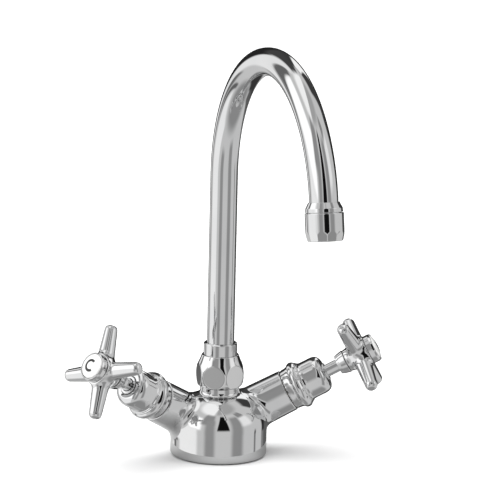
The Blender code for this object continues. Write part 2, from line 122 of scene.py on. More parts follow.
# Spout
TUBE_RADIUS = 9.0
TUBE_BORE = 8.0
TUBE_BOTTOM = 62.7
BEND_START = 188.0
BEND_RADIUS = 86.9
BEND_SWEEP = math.radians(170.0)
TUBE_END = 10.5  # straight stretch inside the ferrule
COLLAR_RADIUS = 11.05
COLLAR_BOTTOM = 62.7
COLLAR_TOP = 75.4
NUT_FLAT_DISTANCE = 14.4
NUT_TURN = 53.5  # degrees
NUT_SPAN = (46.3, 67.4)
NUT_BULB = (54.0, 16.3)  # height of the centre, radius
NUT_BORES = ((12.5, 40.0, 64.0), (11.4, 60.0, 70.0))  # radius, start, end
HOUSING_FLATS = 12
HOUSING_FLATS_LEAN = math.radians(13)
HOUSING_SPAN = (6.5, 23.8)
HOUSING_RADIUS = 12.0
HOUSING_BORES = ((10.5, 0.0, 21.4), (9.0, 20.0, 30.0))  # radius, start, end


# ---------------------------------------------------------------- outlines


def arc(centre, radius, start, stop, steps=16):
    """Smooth outline points on a circle, angles in degrees from +radius."""
    angles = np.radians(np.linspace(start, stop, steps + 1))
    return [(centre[0] + radius * math.cos(a), centre[1] + radius * math.sin(a), 0) for a in angles]


def bezier(points, steps=24):
    """Smooth outline points on a cubic curve."""
    result = []
    for t in np.linspace(0, 1, steps + 1):
        weights = ((1 - t) ** 3, 3 * t * (1 - t) ** 2, 3 * t * t * (1 - t), t**3)
        result.append((*(sum(w * p[i] for w, p in zip(weights, points)) for i in (0, 1)), 0))
    return result


def fillet_points(corner, before, after, radius, steps=5):
    """Points and travel directions round one filleted corner. Both directions are unit vectors."""
    cross = before[0] * after[1] - before[1] * after[0]
    turn = math.atan2(cross, before @ after)
    start = corner - before * radius * math.tan(abs(turn) / 2)
    left = np.array([-before[1], before[0]]) * math.copysign(1, turn)
    centre = start + left * radius
    made = []
    for a in np.linspace(0, turn, steps + 1):
        spin = np.array([[math.cos(a), -math.sin(a)], [math.sin(a), math.cos(a)]])
        made.append((centre - spin @ left * radius, spin @ before))
    return made


def outlined(corners):
    """(points, outward normals, closed) of an outline. One that starts on the axis also ends there."""
    closed = corners[0][0] > 0
    places = np.array([corner[:2] for corner in corners], float)
    count = len(places)
    made = []
    for i, (_, _, fillet) in enumerate(corners):
        at_end = not closed and i in (0, count - 1)
        before = places[i] - places[i - 1]
        after = places[(i + 1) % count] - places[i]
        if at_end:
            made.append((places[i], np.array([1.0, 0.0]) if i == 0 else np.array([-1.0, 0.0])))
            continue
        if fillet:
            before, after = before / np.linalg.norm(before), after / np.linalg.norm(after)
            made += fillet_points(places[i], before, after, fillet)
        else:
            along = before + after
            made.append((places[i], along / np.linalg.norm(along)))
    points = np.array([point for point, _ in made])
    travel = np.array([direction for _, direction in made])
    return points, np.stack([travel[:, 1], -travel[:, 0]], 1), closed


# ---------------------------------------------------------------- meshes


def quads_between(first, second):
    """Faces between two closed rows of vertex numbers. A row that is one point gives triangles."""
    faces = []
    count = len(first)
    for k in range(count):
        after = (k + 1) % count
        face = [first[k], first[after], second[after], second[k]]
        faces.append([v for i, v in enumerate(face) if v != face[i - 1]])
    return faces


def lathe(corners, sides=SIDES):
    """(points, faces, normals) of an outline spun round Z."""
    outline, slopes, closed = outlined(corners)
    turns = np.arange(sides) * 2 * math.pi / sides
    rows, points, normals = [], [], []
    for (radius, height), (out, up) in zip(outline, slopes):
        ring = turns if radius > 1e-6 else turns[:1]
        first = len(points)
        rows.append([first + (k if len(ring) > 1 else 0) for k in range(sides)])
        points += [(radius * math.cos(a), radius * math.sin(a), height) for a in ring]
        normals += [(out * math.cos(a), out * math.sin(a), up) if len(ring) > 1 else (0, 0, up) for a in ring]
    faces = []
    for i in range(len(rows) if closed else len(rows) - 1):
        faces += quads_between(rows[i], rows[(i + 1) % len(rows)])
    return np.array(points), faces, np.array(normals)


def gradient(field, points, reach=0.02):
    """Slope of a distance field."""
    slopes = []
    for axis in np.eye(3) * reach:
        slopes.append((field(points + axis) - field(points - axis)) / (2 * reach))
    return np.stack(slopes, 1)


def onto_surface(field, points, steps):
    for _ in range(steps):
        slope = gradient(field, points)
        length = np.maximum((slope**2).sum(1), 0.05)
        points = points - (field(points) / length)[:, None] * slope
    return points


def sampled(field, axes, coarse=4):
    """The field on a grid. Only the blocks near the surface are worked out at every point."""
    step = axes[0][1] - axes[0][0]
    rough = np.stack(np.meshgrid(*(axis[::coarse] for axis in axes), indexing="ij"), -1)
    value = field(rough.reshape(-1, 3)).reshape(rough.shape[:3])
    for i in range(3):
        value = np.repeat(value, coarse, axis=i)
    value = value[tuple(slice(len(axis)) for axis in axes)]
    near = np.argwhere(np.abs(value) < 3.2 * coarse * step)
    places = np.stack([axis[near[:, i]] for i, axis in enumerate(axes)], 1)
    value[tuple(near.T)] = field(places)
    return value


def surface_of(field, low, high, step, smoothing=6):
    """(points, faces, normals) of a field's zero surface, with one point in each crossed cell."""
    axes = [np.arange(a - step * 1.5, b + step * 2.5, step) for a, b in zip(low, high)]
    inside = sampled(field, axes) < 0
    corners = [inside[tuple(slice(o, s - 1 + o) for o, s in zip(offset, inside.shape))]
               for offset in np.ndindex(2, 2, 2)]
    filled = sum(corner.astype(np.int8) for corner in corners)
    crossed = (filled > 0) & (filled < 8)
    number = np.full(crossed.shape, -1)
    number[crossed] = np.arange(crossed.sum())
    cells = np.argwhere(crossed)
    points = np.stack([axis[cells[:, i]] for i, axis in enumerate(axes)], 1) + step / 2
    faces = []
    for axis in range(3):
        u, v = (axis + 1) % 3, (axis + 2) % 3
        ahead = np.roll(inside, -1, axis)
        for rising in (True, False):
            edge = inside & ~ahead if rising else ~inside & ahead
            edge[tuple(slice(-1, None) if i == axis else slice(None) for i in range(3))] = False
            places = np.argwhere(edge)
            ring = []
            for du, dv in ((1, 1), (0, 1), (0, 0), (1, 0)):
                shifted = places.copy()
                shifted[:, u] -= du
                shifted[:, v] -= dv
                ring.append(number[tuple(shifted.T)])
            faces.append(np.stack(ring if rising else ring[::-1], 1))
    faces = np.concatenate(faces)
    points = onto_surface(field, points, 3)
    pairs = np.concatenate([faces[:, [i, (i + 1) % 4]] for i in range(4)])
    degree = np.bincount(pairs.ravel(), minlength=len(points))
    for _ in range(smoothing):
        total = np.stack(
            [np.bincount(pairs[:, 0], points[pairs[:, 1], i], len(points))
             + np.bincount(pairs[:, 1], points[pairs[:, 0], i], len(points)) for i in range(3)], 1)
        points = onto_surface(field, 0.5 * points + 0.5 * total / degree[:, None], 1)
    points = onto_surface(field, points, 2)
    slope = gradient(field, points)
    return points, faces.tolist(), slope / np.linalg.norm(slope, axis=1)[:, None]


def add_piece(name, shape, place, body, material, nodes, slot):
    """Makes a smooth piece from a shape in millimetres, puts it in place and sets it on its body."""
    points, faces, normals = shape
    turn = np.array(place.to_3x3())
    points = points @ turn.T * MM + np.array(place.translation)
    mesh = bpy.data.meshes.new(name)
    mesh.from_pydata(points.tolist(), [], faces)
    mesh.shade_smooth()
    mesh.normals_split_custom_set_from_vertices((normals @ turn.T).tolist())
    mesh.materials.append(material)
    piece = bpy.data.objects.new(name, mesh)
    bpy.context.scene.collection.objects.link(piece)
    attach(piece, body)
    if nodes:
        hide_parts(*nodes)
    return piece


def frame_matrix(origin, along, across):
    """Local Z runs along one direction and local X leans towards the other. The origin is in metres."""
    z = Vector(along).normalized()
    y = z.cross(Vector(across)).normalized()
    turn = Matrix((y.cross(z), y, z)).transposed().to_4x4()
    return Matrix.Translation(Vector(origin)) @ turn


# ---------------------------------------------------------------- distance fields


def smooth_min(a, b, size):
    """Union with a hollow fillet of about this size where the two meet."""
    mix = np.clip(0.5 + 0.5 * (b - a) / size, 0, 1)
    return b + (a - b) * mix - size * mix * (1 - mix)


def smooth_max(a, b, size):
    return -smooth_min(-a, -b, size)


def turned_wall(radius, height, heights, radii):
    """Distance to a wall whose radius is a smooth function of height."""
    wall = np.interp(height, heights, radii)
    slope = np.interp(height, heights, np.gradient(radii, heights))
    return (radius - wall) / np.sqrt(1 + slope**2)


def pipe(points, place, direction, radius, start, end, edge=EDGE):
    """A cylinder from start to end along a direction. The radius may be a pair, for a taper."""
    offset = points - place
    along = offset @ direction
    away = np.linalg.norm(offset - along[:, None] * direction, axis=1)
    if isinstance(radius, tuple):
        radius = radius[0] + (radius[1] - radius[0]) * np.clip((along - start) / (end - start), 0, 1)
    return smooth_max(away - radius, np.abs(along - (start + end) / 2) - (end - start) / 2, edge)


def direction_and_place(local):
    """Axis and start as arrays, for fields made in the whole object's frame."""
    return np.array(local.to_3x3().col[2]), np.array(local.translation) / MM


# ---------------------------------------------------------------- where things are

JOINTS = {joint["name"]: joint for joint in frame["joints"]}
SIDES_OF_TAP = ("left", "right")
ARM_FRAMES = {
    side: frame_matrix(JOINTS[f"turn_{side}"]["pos_m"], JOINTS[f"turn_{side}"]["axis"], (0, 0, 1))
    for side in SIDES_OF_TAP
}
OUTLET_PLACE = Vector(
    (0, -BEND_RADIUS * (1 - math.cos(BEND_SWEEP)), BEND_START + BEND_RADIUS * math.sin(BEND_SWEEP))
)
STREAM = Vector((0, -math.sin(BEND_SWEEP), math.cos(BEND_SWEEP)))
OUTLET_FRAME = frame_matrix(OUTLET_PLACE * MM, STREAM, (1, 0, 0))
WORLD_FRAME = Matrix.Identity(4)


# ---------------------------------------------------------------- the casting


def bell_radii():
    """Radius of the foot, wall, bell and neck for each height."""
    wall = np.linspace(-5, BELL_CURVE[0][1], 40)
    neck = np.linspace(SADDLE_CURVE[-1][1], NECK_TOP + 5, 40)
    curve = bezier(BELL_CURVE, 1200)[:-1] + bezier(SADDLE_CURVE, 300)
    heights = np.concatenate([wall[:-1], [point[1] for point in curve], neck[1:]])
    foot, top = wall[:-1] * 0 + FOOT_RADIUS, neck[1:] * 0 + NECK_RADIUS
    return heights, np.concatenate([foot, [point[0] for point in curve], top])


def body_field():
    heights, radii = bell_radii()
    up = np.array([0.0, 0.0, 1.0])
    origin = np.zeros(3)
    arms = [direction_and_place(ARM_FRAMES[side]) for side in SIDES_OF_TAP]
    inner, outer, depth = GASKET_GROOVE

    def field(points):
        away = np.hypot(points[:, 0], points[:, 1])
        height = points[:, 2]
        bell = smooth_max(turned_wall(away, height, heights, radii), height - NECK_SHOULDER, EDGE)
        solid = bell
        for direction, place in arms:
            radius = (ARM_ROOT_RADIUS, ARM_TIP_RADIUS)
            limb = pipe(points, place, direction, radius, ARM_START, ARM_END, 0.7)
            solid = smooth_min(solid, limb, ARM_BLEND)
        thread = pipe(points, origin, up, NECK_THREAD_RADIUS, MIXING_FLOOR, NECK_TOP, 0.6)
        solid = smooth_min(solid, thread, EDGE)
        solid = smooth_max(solid, -height, FOOT_EDGE * 1.6)
        holes = [pipe(points, origin, up, NECK_BORE_RADIUS, MIXING_FLOOR, NECK_TOP + 5)]
        for direction, place in arms:
            holes += [pipe(points, place, direction, *pocket) for pocket in POCKETS]
        radius, x, y, reach = INLET
        for sign in (-1, 1):
            holes.append(pipe(points, np.array([sign * x, y, 0.0]), up, radius, -5.0, reach))
        radius, x, y, reach = STUD_HOLE
        holes.append(pipe(points, np.array([x, y, 0.0]), up, radius, -5.0, reach))
        middle, half = (inner + outer) / 2, (outer - inner) / 2
        holes.append(smooth_max(np.abs(away - middle) - half, height - depth, EDGE))
        for hole in holes:
            solid = smooth_max(solid, -hole, EDGE)
        return solid

    return field


def make_body(material):
    low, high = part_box("body")
    shape = surface_of(body_field(), np.array(low) / MM - 1, np.array(high) / MM + 1, BODY_STEP)
    add_piece("body_casting", shape, WORLD_FRAME, "root", material, ["body"], "chrome")


# ---------------------------------------------------------------- cross handles


def handle_field(turn):
    hub = bezier(((7.5, HANDLE_BACK), (7.9, 104.5), (9.0, 110.0), (10.1, HANDLE_FRONT)), 200)
    heights, radii = [point[1] for point in hub], [point[0] for point in hub]
    up = np.array([0.0, 0.0, 1.0])
    centre = np.array([0.0, 0.0, HANDLE_PLANE])
    turns = [turn + k * math.pi / 2 for k in range(4)]
    limbs = [np.array([math.cos(a), math.sin(a), 0]) for a in turns]

    def field(points):
        away = np.hypot(points[:, 0], points[:, 1])
        height = points[:, 2]
        solid = turned_wall(away, height, heights, radii)
        for limb in limbs:
            radius = (HANDLE_ARM_ROOT, HANDLE_ARM_TIP)
            bar = pipe(points, centre, limb, radius, 0.0, HANDLE_REACH, HANDLE_TIP_CORNER * 1.5)
            solid = smooth_min(solid, bar, HANDLE_BLEND)
        solid = smooth_max(solid, HANDLE_BACK - height, 0.7)
        solid = smooth_max(solid, height - HANDLE_FRONT, 0.7)
        stem = (SPINDLE_RADIUS + GAP, HANDLE_BACK - 5, HUB_BORE_TOP)
        for bore in (stem, (*HUB_POCKET, HANDLE_FRONT + 5)):
            solid = smooth_max(solid, -pipe(points, np.zeros(3), up, *bore), EDGE)
        return solid

    return field


def make_handle(side, material):
    reach = HANDLE_REACH + 1
    low, high = (-reach, -reach, HANDLE_BACK - 1), (reach, reach, HANDLE_FRONT + 1)
    shape = surface_of(handle_field(HANDLE_TURN[side]), low, high, HANDLE_STEP)
    node = [f"handle_{side}"]
    add_piece(f"cross_handle_{side}", shape, ARM_FRAMES[side], f"valve_{side}", material, node, "chrome")


# ---------------------------------------------------------------- turned pieces of one arm


def bonnet_corners():
    """Flare from the arm up to a bead, a hollow neck with two fine rings, and a barrel with a rounded end."""
    return [
        (12.5, 58.1, 0.15),
        (13.3, 58.1, 0.3),
        (13.8, 59.0, 0.5),
        *bezier(((13.9, 60.4), (14.0, 62.4), (14.4, 63.4), (15.25, 64.0)), 10),
        *arc((12.8, 66.0), 3.2, -38, 48, 14),
        (14.35, 69.0, 0.2),
        (14.25, 69.5, 0.15),
        (13.7, 69.7, 0.15),
        (13.65, 70.4, 0.15),
        (13.15, 70.6, 0.15),
        (12.9, 71.6, 0.8),
        (12.8, 73.0, 0.5),
        *bezier(((12.8, 79.6), (12.8, 82.8), (11.6, 85.0), (8.4, 85.6)), 16),
        (6.5, 85.7, 0.2),
        (6.5, 79.9, 0.2),
        (9.1, 79.9, 0.2),
        (9.1, 66.5, 1.0),
        (12.5, 64.0, 1.0),
    ]


def gland_corners():
    bore, outer, top = SPINDLE_RADIUS + 0.35, 6.1, BONNET_TOP + 0.8
    return [(bore, 77.6, EDGE), (outer, 77.6, EDGE), (outer, top, 0.45), (bore, top, EDGE)]


def spindle_corners():
    """Thread below, plain stem through the gland, and the tail that the handle sits on."""
    corners = [(0, 46.5, 0), (2.6, 45.6, EDGE), (2.6, 37.9, EDGE)]
    crest, root, pitch = 5.2, 4.7, 2.0
    thread_start, thread_end = 38.4, 57.0
    corners.append((root, 37.9, EDGE))
    for k in range(int((thread_end - thread_start) / pitch)):
        start = thread_start + k * pitch
        profile = ((root, 0.0), (crest, 0.7), (crest, 1.3), (root, 1.9))
        corners += [(radius, start + along, 0.1) for radius, along in profile]
    corners += [(root, 57.4, EDGE), (SPINDLE_RADIUS, 58.0, EDGE), (SPINDLE_RADIUS, 103.4, EDGE)]
    tail, hole = 3.6, 1.5
    corners += [(tail, 104.0, EDGE), (tail, HUB_BORE_TOP, 0.3), (hole, HUB_BORE_TOP, EDGE)]
    return [*corners, (hole, 102.6, EDGE), (0, 102.0, 0)]


def handle_collar_corners():
    bore, top = SPINDLE_RADIUS + GAP, HANDLE_BACK - GAP
    return [(bore, 95.0, EDGE), (6.2, 95.0, 0.35), (7.0, 97.3, 3.0), (7.9, top, 0.3), (bore, top, EDGE)]


def bezel_corners():
    low = HANDLE_FRONT + GAP
    lip = [(9.6, 121.2, 0.8), (9.2, 122.5, 0.3), (8.8, 122.8, 0.15), (8.5, 122.7, 0.1)]
    return [(8.5, low, 0.1), (9.6, low, 0.2), *lip]


def disc_corners():
    """Domed button with a stem that plugs into the hub."""
    low, top = HANDLE_FRONT + GAP, DISC_DOME[-1][1]
    plug = [(0, 115.6, 0), (6.6, 115.6, 0.3), (6.6, low, 0.1)]
    return [*plug, (8.2, low, 0.1), (8.2, 122.2, 0.4), *bezier(DISC_DOME, 24)[:-1], (0, top, 0)]


def dome_height(away):
    """Height of the button's face at a distance from its axis."""
    dome = bezier(DISC_DOME, 200)[::-1]
    return np.interp(away, [point[0] for point in dome], [point[1] for point in dome])


def stroke_shape(path, across, half, proud=0.07, sunk=0.15):
    """A flat-topped stroke inlaid in the button's face, along points with a sideways direction at each."""
    sections, points, normals, faces = [], [], [], []
    for place, side in zip(path, across):
        corners = []
        for sign, level in ((-1, -sunk), (-1, proud), (1, proud), (1, -sunk)):
            x, y = np.array(place) + sign * half * np.array(side)
            corners.append([x, y, dome_height(math.hypot(x, y)) + level])
        sections.append(np.array(corners))
    for first, second in zip(sections, sections[1:]):
        for k in range(4):
            after = (k + 1) % 4
            ring = [first[k], second[k], second[after], first[after]]
            normal = np.cross(ring[1] - ring[0], ring[3] - ring[0])
            faces.append([len(points) + n for n in range(4)])
            points += ring
            normals += [normal / np.linalg.norm(normal)] * 4
    for section, order in ((sections[0], (0, 1, 2, 3)), (sections[-1], (3, 2, 1, 0))):
        ring = [section[k] for k in order]
        normal = np.cross(ring[1] - ring[0], ring[3] - ring[0])
        faces.append([len(points) + n for n in range(4)])
        points += ring
        normals += [normal / np.linalg.norm(normal)] * 4
    return points, faces, normals


def mark_shape(side):
    """A plain C on the left button and a plain H on the right. Local X is the letter's upward direction."""
    strokes = []
    if side == "left":
        turns = np.radians(np.linspace(50, 310, 40))
        path = [(MARK_REACH * math.sin(a), -MARK_REACH * math.cos(a)) for a in turns]
        across = [(-math.sin(a), math.cos(a)) for a in turns]
        strokes.append(stroke_shape(path, across, 0.85))
    else:
        post, half = 2.2, 0.6
        for place in (-post, post):
            path = [(row, place) for row in np.linspace(-MARK_REACH, MARK_REACH, 12)]
            strokes.append(stroke_shape(path, [(0.0, 1.0)] * len(path), half))
        bar = post - half + 0.05
        path = [(0.0, row) for row in np.linspace(-bar, bar, 8)]
        strokes.append(stroke_shape(path, [(-1.0, 0.0)] * len(path), half))
    points, faces, normals = [], [], []
    for shape in strokes:
        faces += [[len(points) + n for n in face] for face in shape[1]]
        points += shape[0]
        normals += shape[2]
    return np.array(points), faces, np.array(normals)


# ---------------------------------------------------------------- turned pieces of the spout and foot


def gasket_corners():
    inner, outer, depth = GASKET_GROOVE
    low, high, top = inner + GAP, outer - GAP, depth - GAP
    return [(low, 0, 0.4), (high, 0, 0.4), (high, top, 0.2), (low, top, 0.2)]


def collar_corners():
    bore = TUBE_RADIUS + GAP
    return [
        (bore, COLLAR_BOTTOM, 0.1),
        (COLLAR_RADIUS, COLLAR_BOTTOM, 0.1),
        (COLLAR_RADIUS, COLLAR_TOP - 0.6, 0.5),
        (10.2, COLLAR_TOP, 0.4),
        (bore, COLLAR_TOP, 0.1),
    ]


def ferrule_corners():
    """Tapered shoulder soldered to the tube, with the spigot that the housing screws onto."""
    corners = [(9.25, 0.0, 0.1), (9.6, 0.0, 0.15), (11.5, 3.7, 0.8), (11.6, 6.1, 0.25), (10.2, 6.1, 0.15)]
    return [*corners, (10.2, 12.4, EDGE), (7.7, 12.4, EDGE), (7.7, 10.8, EDGE), (9.25, 10.8, EDGE)]


def tube_shape():
    """The gooseneck: a ring of points carried along a straight, an arc and a short straight end."""
    stations = [(Vector((0, 0, TUBE_BOTTOM)), 0.0)]
    for angle in np.linspace(0, BEND_SWEEP, 140):
        place = Vector((0, -BEND_RADIUS * (1 - math.cos(angle)), BEND_START + BEND_RADIUS * math.sin(angle)))
        stations.append((place, angle))
    stations.append((stations[-1][0] + TUBE_END * STREAM, BEND_SWEEP))
    turns = np.arange(SIDES) * 2 * math.pi / SIDES
    points, normals, rows = [], [], []
    for radius, sign in ((TUBE_RADIUS, 1), (TUBE_BORE, -1)):
        for place, angle in stations[::sign]:
            up = np.array([0.0, math.cos(angle), math.sin(angle)])
            ring = np.outer(np.cos(turns), [1.0, 0.0, 0.0]) + np.outer(np.sin(turns), up)
            rows.append([len(points) + k for k in range(SIDES)])
            points += list(np.array(place) + radius * ring)
            normals += list(ring * sign)
    faces = []
    for first, second in zip(rows, rows[1:] + rows[:1]):
        faces += quads_between(first, second)
    return np.array(points), faces, np.array(normals)


def nut_field():
    """Bulb-shaped nut: a sphere that necks in towards its lip, with six flats that show as discs."""
    centre, radius = NUT_BULB
    bulb = arc((0.0, centre), radius, -32, 22, 120)
    neck = bezier(((15.11, 60.1), (14.4, 61.9), (12.9, 64.6), (12.1, 67.6)), 120)
    outline = [point[:2] for point in [*bulb[:-1], *neck]]
    radii, heights = zip(*outline)
    up = np.array([0.0, 0.0, 1.0])
    turns = np.radians(NUT_TURN + 60 * np.arange(6))
    flats = [np.array([math.cos(a), math.sin(a), 0.0]) for a in turns]
    middle, half = sum(NUT_SPAN) / 2, (NUT_SPAN[1] - NUT_SPAN[0]) / 2

    def field(points):
        away = np.hypot(points[:, 0], points[:, 1])
        height = points[:, 2]
        solid = turned_wall(away, height, heights, radii)
        for flat in flats:
            solid = smooth_max(solid, points @ flat - NUT_FLAT_DISTANCE, 0.25)
        solid = smooth_max(solid, np.abs(height - middle) - half, 0.5)
        for bore in NUT_BORES:
            solid = smooth_max(solid, -pipe(points, np.zeros(3), up, *bore), EDGE)
        return solid

    return field


def housing_field():
    """Barrel of the aerator, with wrench flats that lean inwards round its lower edge."""
    heights = [0, 20.6, 22.6, 23.8, 26]
    radii = [HOUSING_RADIUS, HOUSING_RADIUS, 11.5, 10.8, 9.0]
    down = np.array([0.0, 0.0, 1.0])
    turns = 2 * math.pi * np.arange(HOUSING_FLATS) / HOUSING_FLATS
    lean = HOUSING_FLATS_LEAN
    level, fall = math.cos(lean), math.sin(lean)
    flats = [np.array([math.cos(a) * level, math.sin(a) * level, fall]) for a in turns]
    reach = (HOUSING_RADIUS - 0.1) * level + 18.2 * fall
    middle, half = sum(HOUSING_SPAN) / 2, (HOUSING_SPAN[1] - HOUSING_SPAN[0]) / 2

    def field(points):
        away = np.hypot(points[:, 0], points[:, 1])
        height = points[:, 2]
        solid = turned_wall(away, height, heights, radii)
        for flat in flats:
            solid = smooth_max(solid, points @ flat - reach, 0.15)
        solid = smooth_max(solid, np.abs(height - middle) - half, 0.5)
        for bore in HOUSING_BORES:
            solid = smooth_max(solid, -pipe(points, np.zeros(3), down, *bore), EDGE)
        return solid

    return field


def screen_shape():
    """Woven wire disc in a thin rim, seen from under the spout."""
    reach, pitch, wire, height = 8.4, 1.05, 0.17, 20.5
    low, high = height - 0.3, height + 0.3
    rim = [(8.1, low, 0.08), (8.6, low, 0.08), (8.6, high, 0.08), (8.1, high, 0.08)]
    points, faces, normals = (list(part) for part in lathe(rim))
    turns = np.arange(6) * math.pi / 3
    count = int(reach / pitch)
    for axis in (0, 1):
        for row in range(-count, count + 1):
            offset = row * pitch
            half = math.sqrt(reach**2 - offset**2)
            stations = np.linspace(-half, half, 4 * count + 1)
            rings = []
            for place in stations:
                wave = 0.14 * math.cos(math.pi * (place / pitch + row + axis))
                rings.append([len(points) + k for k in range(6)])
                for a in turns:
                    across, up = math.cos(a), math.sin(a)
                    spot = [offset + wire * across, place, height + wave + wire * up]
                    slope = [across, 0.0, up]
                    if axis == 0:
                        spot[0], spot[1] = spot[1], spot[0]
                        slope[0], slope[1] = slope[1], slope[0]
                    points.append(spot)
                    normals.append(slope)
            for first, second in zip(rings, rings[1:]):
                made = quads_between(first, second)
                faces += [face[::-1] for face in made] if axis == 1 else made
            ends = [rings[0][::-1], rings[-1]]
            faces += [end[::-1] for end in ends] if axis == 1 else ends
    return np.array(points), faces, np.array(normals)


# ---------------------------------------------------------------- materials


class Recipe:
    """A Principled material and its nodes, with shorthand for the ones used here."""

    def __init__(self, name, colour, roughness, metallic, **sockets):
        self.material = bpy.data.materials.new(name)
        self.material.use_nodes = True
        self.tree = self.material.node_tree
        self.shader = self.tree.nodes["Principled BSDF"]
        self.place = self.tree.nodes.new("ShaderNodeTexCoord").outputs["Object"]
        self.set("Base Color", (*colour, 1.0))
        self.set("Roughness", roughness)
        self.set("Metallic", metallic)
        for socket, value in sockets.items():
            self.set(socket.replace("_", " "), value)

    def set(self, socket, value):
        self.shader.inputs[socket].default_value = value

    def link(self, source, target):
        self.tree.links.new(source, target)

    def noise(self, scale, detail=3.0, stretch=(1, 1, 1)):
        """Noise in metres: scale is how many lumps fit in a metre."""
        mapping = self.tree.nodes.new("ShaderNodeMapping")
        mapping.inputs["Scale"].default_value = stretch
        self.link(self.place, mapping.inputs["Vector"])
        noise = self.tree.nodes.new("ShaderNodeTexNoise")
        noise.inputs["Scale"].default_value = scale
        noise.inputs["Detail"].default_value = detail
        self.link(mapping.outputs["Vector"], noise.inputs["Vector"])
        return noise.outputs["Fac"]

    def ranged(self, source, low, high, start=0.35, stop=0.65):
        node = self.tree.nodes.new("ShaderNodeMapRange")
        for socket, value in (("From Min", start), ("From Max", stop), ("To Min", low), ("To Max", high)):
            node.inputs[socket].default_value = value
        self.link(source, node.inputs["Value"])
        return node.outputs["Result"]

    def added(self, first, second):
        node = self.tree.nodes.new("ShaderNodeMath")
        self.link(first, node.inputs[0])
        self.link(second, node.inputs[1])
        return node.outputs["Value"]

    def mixed_colour(self, source, first, second):
        node = self.tree.nodes.new("ShaderNodeMix")
        node.data_type = "RGBA"
        node.inputs[6].default_value = (*first, 1.0)
        node.inputs[7].default_value = (*second, 1.0)
        self.link(source, node.inputs["Factor"])
        self.link(node.outputs[2], self.shader.inputs["Base Color"])

    def roughness(self, source):
        self.link(source, self.shader.inputs["Roughness"])

    def bump(self, source, height):
        """Height in millimetres for a full swing of the source."""
        node = self.tree.nodes.new("ShaderNodeBump")
        node.inputs["Distance"].default_value = height * MM
        self.link(source, node.inputs["Height"])
        self.link(node.outputs["Normal"], self.shader.inputs["Normal"])


def chrome(name, ripple):
    """Bright plate: faint haze and hairlines in its gloss, and the ripple of the polished metal under it."""
    recipe = Recipe(name, (0.80, 0.80, 0.80), 0.03, 1.0)
    haze = recipe.ranged(recipe.noise(60, 4.0), 0.015, 0.05)
    hairlines = recipe.ranged(recipe.noise(90, 2.0, (1, 1, 30)), 0.0, 0.05, 0.66, 0.78)
    recipe.roughness(recipe.added(haze, hairlines))
    recipe.mixed_colour(recipe.ranged(recipe.noise(25, 3.0), 0, 1), (0.81, 0.81, 0.81), (0.76, 0.765, 0.77))
    if ripple:
        recipe.bump(recipe.noise(70, 1.0), ripple)
    return recipe.material


def machined(name, light, dark, roughness, metallic=1.0):
    """Turned metal: fine tool marks round the piece, and small stains."""
    recipe = Recipe(name, light, roughness, metallic)
    marks = recipe.noise(900, 2.0)
    recipe.roughness(recipe.ranged(marks, roughness - 0.08, roughness + 0.1))
    recipe.mixed_colour(recipe.ranged(recipe.noise(140, 4.0), 0, 1), light, dark)
    recipe.bump(marks, 0.02)
    return recipe.material


def moulded(name, light, dark, roughness, grain=1500, **sockets):
    """Rubber, fibre, acetal or enamel: fine grain over a slight change of tone."""
    recipe = Recipe(name, light, roughness, 0.0, **sockets)
    pores = recipe.noise(grain, 3.0)
    recipe.roughness(recipe.ranged(pores, roughness - 0.05, roughness + 0.06))
    recipe.mixed_colour(recipe.ranged(recipe.noise(120, 3.0), 0, 1), light, dark)
    recipe.bump(pores, 0.01)
    return recipe.material


def make_materials():
    return {
        "casting": chrome("chrome_on_casting", 0.012),
        "chrome": chrome("chrome_on_turned_brass", 0.0),
        "brass": machined("turned_brass", (0.74, 0.55, 0.26), (0.60, 0.42, 0.18), 0.30),
        "steel": machined("stainless_steel", (0.66, 0.66, 0.67), (0.52, 0.52, 0.53), 0.26),
        "rubber": moulded("black_rubber", (0.022, 0.022, 0.022), (0.035, 0.034, 0.033), 0.62),
        "fibre": moulded("red_fibre", (0.36, 0.12, 0.08), (0.27, 0.09, 0.06), 0.80, 700),
        "acetal": moulded("white_acetal", (0.86, 0.86, 0.84), (0.80, 0.80, 0.77), 0.42),
        "enamel": moulded("white_enamel", (0.88, 0.88, 0.87), (0.83, 0.83, 0.82), 0.16, 400, Coat_Weight=0.6),
        "ink": moulded("black_enamel", (0.015, 0.015, 0.015), (0.03, 0.03, 0.03), 0.30),
    }


# ---------------------------------------------------------------- studio

CAMERA_AZIMUTH = math.radians(-21.115)
CAMERA_ELEVATION = math.radians(12.119)
CAMERA_ROLL = math.radians(1.350)
CAMERA_DISTANCE = 2388.0
CAMERA_AIM = (17.95, 137.72)  # to the right, and up, from the origin
CAMERA_LENS = 262.6  # for a sensor 36 mm wide
NEAR_FLOOR = 52.0  # radius of the patch of floor with painted shade, a darker colour that stands in for the object's shade, as the chrome shows it
WIDE_FLOOR = 17000.0
SOFTBOX_SIDE = 6.0  # metres
SOFTBOX_POWER = 300.0  # watts
SOFTBOX_PLACE = (-0.3, 0.8, 4.0)  # metres


def make_camera():
    a, e = CAMERA_AZIMUTH, CAMERA_ELEVATION
    back = Vector((math.sin(a) * math.cos(e), -math.cos(a) * math.cos(e), math.sin(e)))
    right = Vector((math.cos(a), math.sin(a), 0))
    up = back.cross(right)
    aim = right * CAMERA_AIM[0] + Vector((0, 0, CAMERA_AIM[1]))
    place = (aim + back * CAMERA_DISTANCE) * MM
    roll = CAMERA_ROLL
    across = right * math.cos(roll) + up * math.sin(roll)
    upright = up * math.cos(roll) - right * math.sin(roll)
    data = bpy.data.cameras.new("camera")
    data.lens = CAMERA_LENS
    data.sensor_width = 36.0
    data.clip_end = 20.0
    camera = bpy.data.objects.new("camera", data)
    bpy.context.scene.collection.objects.link(camera)
    turn = Matrix((across, upright, back)).transposed().to_4x4()
    camera.matrix_world = Matrix.Translation(place) @ turn
    bpy.context.scene.camera = camera


